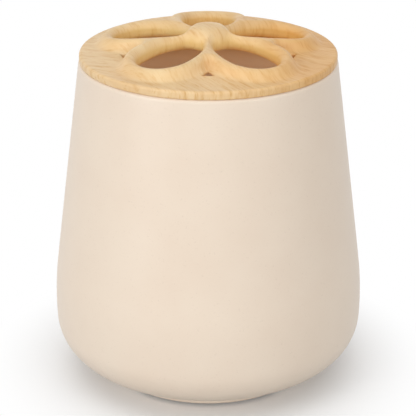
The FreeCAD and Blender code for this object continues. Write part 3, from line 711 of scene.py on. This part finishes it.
def field_mesh(field, low, high, pitch):
    """Points and faces of a field's zero surface, one point for each cube that it passes."""
    counts = np.ceil((np.asarray(high) - low) / pitch).astype(int) + 1
    axes = [low[k] + pitch * np.arange(counts[k]) for k in range(3)]
    values = field(*np.meshgrid(*axes, indexing="ij")).astype(np.float64)
    inside = values < 0
    shape = counts - 1
    total = np.zeros((*shape, 3))
    hits = np.zeros(shape)
    for axis in range(3):
        for one in (0, 1):
            for two in (0, 1):
                start = [0, 0, 0]
                start[(axis + 1) % 3], start[(axis + 2) % 3] = one, two
                end = list(start)
                end[axis] = 1
                cut_a = tuple(slice(s, s + n) for s, n in zip(start, shape))
                cut_b = tuple(slice(s, s + n) for s, n in zip(end, shape))
                crossed = inside[cut_a] != inside[cut_b]
                spread = np.where(crossed, values[cut_a] - values[cut_b], 1.0)
                share = np.where(crossed, values[cut_a] / spread, 0.0)
                total += crossed[..., None] * np.asarray(start, float)
                total[..., axis] += share
                hits += crossed
    active = hits > 0
    number = np.full(shape, -1)
    number[active] = np.arange(active.sum())
    cells = np.argwhere(active)
    points = np.asarray(low) + pitch * (cells + total[active] / hits[active][:, None])
    faces = []
    for axis in range(3):
        before = tuple(slice(0, -1) if k == axis else slice(1, -1) for k in range(3))
        after = tuple(slice(1, None) if k == axis else slice(1, -1) for k in range(3))
        crossed = inside[before] != inside[after]
        place = np.argwhere(crossed) + [0 if k == axis else 1 for k in range(3)]
        leaving = inside[before][crossed]
        step_one = np.eye(3, dtype=int)[(axis + 1) % 3]
        step_two = np.eye(3, dtype=int)[(axis + 2) % 3]
        around = [place - step_one - step_two, place - step_two, place, place - step_one]
        quad = np.column_stack([number[tuple(cell.T)] for cell in around])
        faces.append(np.where(leaving[:, None], quad, quad[:, ::-1]))
    return points, np.vstack(faces)


def field_slope(field, points, step=0.01):
    """The field's slope at points, from differences over a small step along each axis."""
    moves = np.eye(3) * step
    return np.column_stack([
        (field(*(points + move).T) - field(*(points - move).T)) / (2 * step) for move in moves
    ])


def pull_to_surface(field, points, pitch, rounds=4):
    """Move each point along the slope, by the field's value over the slope's length.

    One round moves a point by a third of a cube at most.
    """
    for _ in range(rounds):
        slope = field_slope(field, points)
        length = np.maximum(np.linalg.norm(slope, axis=1), LEAST_SLOPE)
        move = np.clip(field(*points.T) / length, -pitch / 3, pitch / 3)
        points = points - slope / length[:, None] * move[:, None]
    return points


lid_low = np.array([-LID_RADIUS, -LID_RADIUS, SPIGOT_FOOT]) - LID_MARGIN
lid_high = np.array([LID_RADIUS, LID_RADIUS, CROWN_BASE + KNOB_RISE]) + LID_MARGIN
lid_points, lid_faces = field_mesh(lid_field, lid_low, lid_high, LID_PITCH)
lid_points = pull_to_surface(lid_field, lid_points, LID_PITCH)
lid_normals = field_slope(lid_field, lid_points)
lid_normals /= np.linalg.norm(lid_normals, axis=1)[:, None]
print("left over after pulling, in mm:", float(np.abs(lid_field(*lid_points.T)).max()))

# %% [markdown]
# The lid becomes a piece like the others. Blender would work out its normals from the
# faces around each point, and the small cubes could then show as faint ripples on the
# bars. The field's own slope has no such ripples, so it is stored as custom normals.

# %% The lid as a piece
flower_lid = new_piece("flower_lid", lid_points + [0.0, 0.0, LID_TOP], lid_faces, np.zeros((0, 3), int))
flower_lid.data.normals_split_custom_set_from_vertices(lid_normals.tolist())

# %% [markdown]
# Grain follows the tree and not the lid's form: the streaks on the lid run from the
# back left to the front right and bend towards level at the two sides, and they go
# down through the wood, so the edge shows short upright lines. The lid's points carry
# their place in the board as an attribute: along the streaks, across them, and in
# depth. Noise that is stretched along the first of these makes the streaks.

# %% Place of each point in the board
GRAIN_TURN = math.radians(56.0)
GRAIN_BEND = 30.0


def board_place(points):
    """Along, across and depth: the plan turned by an angle, with x first flattened towards the sides."""
    bent = GRAIN_BEND * np.tanh(points[:, 0] / GRAIN_BEND)
    across = bent * math.sin(GRAIN_TURN) + points[:, 1] * math.cos(GRAIN_TURN)
    along = points[:, 0] * math.cos(GRAIN_TURN) - points[:, 1] * math.sin(GRAIN_TURN)
    return np.column_stack([along, across, points[:, 2]])


board = flower_lid.data.attributes.new("board_place", "FLOAT_VECTOR", "POINT")
board.data.foreach_set("vector", board_place(lid_points).astype(np.float32).ravel())
print("board spans in mm:", np.round(np.ptp(board_place(lid_points), axis=0), 1))

# %% [markdown]
# In the holes and on the rings the cutter goes across the grain. Such faces soak up more
# lacquer and look yellower, and light that bounces between the wood there turns warm. A
# second attribute says how much of this yellow a point gets, partly end grain and partly
# painted warm shade: it is one on upright faces at a hole, small on the rest of the flower,
# and zero on the flat disc. A third one marks the flower itself, where carving and sanding
# leave the grain fainter than on the disc.

# %% End grain and painted warm shade at the holes
BOUNCE_TINT_REACH = 2.4
CARVED_SHARE = 0.15
CARVED_EDGE = 2.5

q, d, radius = folded(lid_points[:, 0], lid_points[:, 1])
near_hole = 1 - np.clip(petal_field(q, d, radius) / BOUNCE_TINT_REACH, 0.0, 1.0)
upright = 1 - np.clip(lid_normals[:, 2], 0.0, 1.0)
carved = 1 - np.clip(flower_field(q, d) / CARVED_EDGE, 0.0, 1.0)
# Painted shade: this share paints the warm light that bounces between the wood in the holes and on the
# rings, as well as end grain.
grain_and_bounce_share = np.maximum(near_hole * upright, CARVED_SHARE * carved)
mark_points(flower_lid, "end_grain_and_bounce", grain_and_bounce_share)
mark_points(flower_lid, "flower_part", carved)
print("share of points with end grain:", round(float((grain_and_bounce_share > 0.5).mean()), 2))

# %% [markdown]
# No real finish is even. A soft cloud of noise, with its own scale and strength for
# each material, breaks up colour and gloss. It is a node group, because the glaze, the
# wood and the silicone all use it.

# %% The soft cloud group
cloud_group = bpy.data.node_groups.new("soft_cloud", "ShaderNodeTree")
cloud_group.interface.new_socket("Vector", in_out="INPUT", socket_type="NodeSocketVector")
cloud_scale = cloud_group.interface.new_socket("Scale", in_out="INPUT", socket_type="NodeSocketFloat")
cloud_scale.default_value = 60.0
cloud_depth = cloud_group.interface.new_socket("Strength", in_out="INPUT", socket_type="NodeSocketFloat")
cloud_depth.default_value = 1.0
cloud_group.interface.new_socket("Mask", in_out="OUTPUT", socket_type="NodeSocketFloat")
cloud_group.interface.new_socket("Height", in_out="OUTPUT", socket_type="NodeSocketFloat")
inputs = add_node(cloud_group, "NodeGroupInput", (-700, 0))
outputs = add_node(cloud_group, "NodeGroupOutput", (400, 0))
noise = add_node(cloud_group, "ShaderNodeTexNoise", (-450, 0), Detail=4.0, Roughness=0.55)
cloud_group.links.new(inputs.outputs["Vector"], noise.inputs["Vector"])
cloud_group.links.new(inputs.outputs["Scale"], noise.inputs["Scale"])
centred = math_node(cloud_group, (-200, 0), "SUBTRACT", noise.outputs["Fac"], 0.5)
strong = math_node(cloud_group, (0, 0), "MULTIPLY", centred, inputs.outputs["Strength"])
mask = math_node(cloud_group, (200, 0), "ADD", strong, 0.5, clamp=True)
cloud_group.links.new(mask, outputs.inputs["Mask"])
cloud_group.links.new(noise.outputs["Fac"], outputs.inputs["Height"])


def add_cloud(tree, place, vector, scale, strength):
    """Add the soft cloud, fed by a vector, with a scale in waves per unit of it and a strength."""
    made = add_node(tree, "ShaderNodeGroup", place, node_tree=cloud_group)
    made.inputs["Scale"].default_value = scale
    made.inputs["Strength"].default_value = strength
    tree.links.new(vector, made.inputs["Vector"])
    return made


print("group:", cloud_group.name)

# %% [markdown]
# The cup has a matt cream glaze: almost even in colour, with a faint cloudiness, tiny
# pores and a broad soft sheen. The low foot and the inside are left without glaze and are
# rougher, as a pot is wiped clean where it stands in the kiln and need not shine where
# nobody looks. The inside is also painted a little lighter and warmer, as painted light
# for the warm light that bounces round inside the cup. One plain colour would
# look like plastic, so colour, gloss and bump all change a little over the surface.

# %% Cream glaze
GLAZE_START = 3.0
BARE_END = 2.2

cream_glaze, tree, shader, _ = new_material("cream_glaze")
where = add_node(tree, "ShaderNodeTexCoord", (-1500, 0))
spot = where.outputs["Object"]
cloud = add_cloud(tree, (-1200, 300), spot, 45.0, 1.6)
pores = add_cloud(tree, (-1200, 0), spot, 1500.0, 2.2)
cream = ramp(tree, (-950, 300), cloud.outputs["Mask"],
             [(0.0, srgb(236, 217, 197)), (1.0, srgb(241, 225, 206))])
pore_tint = ramp(tree, (-950, 0), pores.outputs["Mask"],
                 [(0.0, srgb(248, 247, 246)), (0.25, srgb(255, 255, 255))])
speckled = mixed(tree, (-650, 200), cream, pore_tint, blend_type="MULTIPLY")
split = add_node(tree, "ShaderNodeSeparateXYZ", (-1200, -300))
tree.links.new(spot, split.inputs["Vector"])
bare = smooth_step(tree, (-950, -300), split.outputs["Z"], GLAZE_START * MM, BARE_END * MM)
inner = add_node(tree, "ShaderNodeAttribute", (-1200, -600), attribute_name="inner_wall")
unglazed = math_node(tree, (-650, -300), "MAXIMUM", bare, inner.outputs["Fac"])
# Painted light: the inside gets a lighter, warmer colour that stands for warm light bouncing inside the
# cup.
cream_with_inside_bounce = mixed(tree, (-350, 200), speckled, (*srgb(243, 225, 203), 1.0), inner.outputs["Fac"])
tree.links.new(cream_with_inside_bounce, shader.inputs["Base Color"])
gloss = math_node(tree, (-650, -100), "MULTIPLY_ADD", cloud.outputs["Mask"], 0.10, 0.35)
gloss = math_node(tree, (-350, -100), "MULTIPLY_ADD", unglazed, 0.25, gloss)
tree.links.new(gloss, shader.inputs["Roughness"])
bump = add_node(tree, "ShaderNodeBump", (-350, -400), Strength=0.12, Distance=0.00006)
tree.links.new(pores.outputs["Height"], bump.inputs["Height"])
tree.links.new(bump.outputs["Normal"], shader.inputs["Normal"])
shader.inputs["Specular IOR Level"].default_value = 0.6
print("cream_glaze:", len(tree.nodes), "nodes")

# %% [markdown]
# The wood is pale and close grained under a thin satin lacquer. Broad bands of early
# and late wood give a slow change of colour, fine streaks run along the grain, and
# short dark flecks are the pores. Streaks also change the gloss and lie a little below
# the surface. They are calmer on the carved flower, and towards the right of the lid the
# wood is deeper in colour. A picture of wood laid over the lid
# would smear on the bars, so the grain is noise worked out in depth as well.

# %% Pale wood
RIGHT_TINT_START = -6.0
RIGHT_TINT_END = 38.0
BOUNCE_TINT_SHARE = 0.8
FLOWER_CALM = 0.4

pale_wood, tree, shader, _ = new_material("pale_wood")
board = add_node(tree, "ShaderNodeAttribute", (-1900, 0), attribute_name="board_place")
spot = board.outputs["Vector"]


def stretched(place, along, across, depth):
    """The board's place with each direction multiplied by its own frequency, in waves per millimetre."""
    made = add_node(tree, "ShaderNodeMapping", place, vector_type="POINT")
    made.inputs["Scale"].default_value = (along, across, depth)
    tree.links.new(spot, made.inputs["Vector"])
    return made.outputs["Vector"]


bands = add_cloud(tree, (-1400, 500), stretched((-1650, 500), 0.045, 0.16, 0.05), 1.0, 2.0)
streaks = add_cloud(tree, (-1400, 200), stretched((-1650, 200), 0.14, 0.95, 0.16), 1.0, 2.3)
flecks = add_cloud(tree, (-1400, -100), stretched((-1650, -100), 0.26, 2.2, 0.35), 1.0, 3.0)
blush = add_cloud(tree, (-1400, -400), stretched((-1650, -400), 0.05, 0.07, 0.05), 1.0, 2.4)
base = ramp(tree, (-1100, 500), bands.outputs["Mask"],
            [(0.0, srgb(232, 197, 149)), (0.5, srgb(239, 208, 162)), (1.0, srgb(246, 220, 177))])
streak_tint = ramp(tree, (-1100, 200), streaks.outputs["Mask"],
                   [(0.12, srgb(242, 229, 207)), (0.45, srgb(252, 249, 243)), (0.8, srgb(255, 255, 255))])
fleck_tint = ramp(tree, (-1100, -100), flecks.outputs["Mask"],
                  [(0.05, srgb(245, 235, 218)), (0.28, srgb(255, 255, 255))])
blush_tint = ramp(tree, (-1100, -400), blush.outputs["Mask"],
                  [(0.25, srgb(255, 255, 255)), (0.85, srgb(255, 251, 248))])


def multiplied(place, one, two, share=1.0):
    """One colour times another, by a share from 0, which leaves the first as it is, to 1."""
    return mixed(tree, place, one, two, share, blend_type="MULTIPLY")


# Painted shade: the yellow mixed in here paints warm bounce light in the holes and on the rings, partly
# end grain.
cut = add_node(tree, "ShaderNodeAttribute", (-1400, -700), attribute_name="end_grain_and_bounce")
bounce_tint_amount = math_node(tree, (-1100, -700), "MULTIPLY", cut.outputs["Fac"], BOUNCE_TINT_SHARE)
bounce_tinted = mixed(tree, (-950, 500), base, (*srgb(249, 220, 148), 1.0), bounce_tint_amount)
flower = add_node(tree, "ShaderNodeAttribute", (-1400, -1300), attribute_name="flower_part")
calm = math_node(tree, (-1100, -1300), "MULTIPLY_ADD", flower.outputs["Fac"], -FLOWER_CALM, 1.0)
colour = multiplied((-800, 400), bounce_tinted, streak_tint, calm)
colour = multiplied((-600, 300), colour, fleck_tint, calm)
flower_tint = ramp(tree, (-800, -1300), flower.outputs["Fac"],
                   [(0.0, srgb(255, 255, 255)), (1.0, srgb(252, 251, 251))])
colour = multiplied((-500, -1300), colour, flower_tint)
colour = multiplied((-400, 200), colour, blush_tint)
where = add_node(tree, "ShaderNodeTexCoord", (-1900, -1000))
split = add_node(tree, "ShaderNodeSeparateXYZ", (-1650, -1000))
tree.links.new(where.outputs["Object"], split.inputs["Vector"])
# The wood is made deeper in colour towards the right of the lid.
toward_right = smooth_step(tree, (-1400, -1000), split.outputs["X"], RIGHT_TINT_START * MM, RIGHT_TINT_END * MM)
right_tint = ramp(tree, (-1100, -1000), toward_right,
                  [(0.0, srgb(255, 255, 255)), (1.0, srgb(250, 230, 198))])
colour = multiplied((0, 0), colour, right_tint)
tree.links.new(colour, shader.inputs["Base Color"])
gloss = math_node(tree, (-600, -200), "MULTIPLY_ADD", streaks.outputs["Mask"], -0.10, 0.46)
tree.links.new(gloss, shader.inputs["Roughness"])
relief = math_node(tree, (-800, -500), "MULTIPLY_ADD",
                   flecks.outputs["Mask"], 0.5, streaks.outputs["Mask"])
bump = add_node(tree, "ShaderNodeBump", (-400, -500), Strength=0.25, Distance=0.00006)
tree.links.new(relief, bump.inputs["Height"])
tree.links.new(bump.outputs["Normal"], shader.inputs["Normal"])
shader.inputs["Specular IOR Level"].default_value = 0.3
print("pale_wood:", len(tree.nodes), "nodes")

# %% [markdown]
# The seal ring and the pads are soft silicone, milky and dull, with a little light
# going into it. Handling and dust leave faint clouds on it. One function makes both
# finishes, the one for the pads darker and duller.

# %% Milky silicone
def milky_silicone(name, dark, light, roughness):
    """Silicone whose colour and gloss drift between two values with the soft cloud."""
    material, tree, shader, _ = new_material(name)
    where = add_node(tree, "ShaderNodeTexCoord", (-900, 0))
    cloud = add_cloud(tree, (-650, 0), where.outputs["Object"], 220.0, 1.8)
    tree.links.new(ramp(tree, (-350, 100), cloud.outputs["Mask"], [(0.0, dark), (1.0, light)]),
                   shader.inputs["Base Color"])
    tree.links.new(math_node(tree, (-350, -150), "MULTIPLY_ADD", cloud.outputs["Mask"], 0.12, roughness),
                   shader.inputs["Roughness"])
    bump = add_node(tree, "ShaderNodeBump", (-350, -400), Strength=0.2, Distance=0.00005)
    tree.links.new(cloud.outputs["Height"], bump.inputs["Height"])
    tree.links.new(bump.outputs["Normal"], shader.inputs["Normal"])
    shader.inputs["Subsurface Weight"].default_value = 0.15
    shader.inputs["Subsurface Scale"].default_value = 0.001
    return material


seal_silicone = milky_silicone("milky_seal", srgb(222, 219, 212), srgb(236, 234, 228), 0.38)
pad_silicone = milky_silicone("milky_pad", srgb(205, 202, 196), srgb(220, 217, 211), 0.5)
print("silicone:", seal_silicone.name, pad_silicone.name)

# %% [markdown]
# Last, each piece gets its finish, rides on the body that moves it and stands in for its
# CAD node, which is hidden.

# %% Finishes, bodies and nodes
assembly = [
    (cup_shell, cream_glaze, "cup_body", "cup", "cup_glaze"),
    (flower_lid, pale_wood, "lid_body", "lid", "lid_wood"),
    (seal_ring, seal_silicone, "seal_body", "lid_seal_ring", "seal_silicone"),
]
assembly += [
    (pad, pad_silicone, "cup_body", f"foot_pad_{number + 1}", "pad_silicone")
    for number, pad in enumerate(soft_pads)
]
for piece, finish, body, node, slot in assembly:
    piece.data.materials.append(finish)
    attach(piece, body)
    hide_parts(node)
print("pieces:", [piece.name for piece, *_ in assembly])
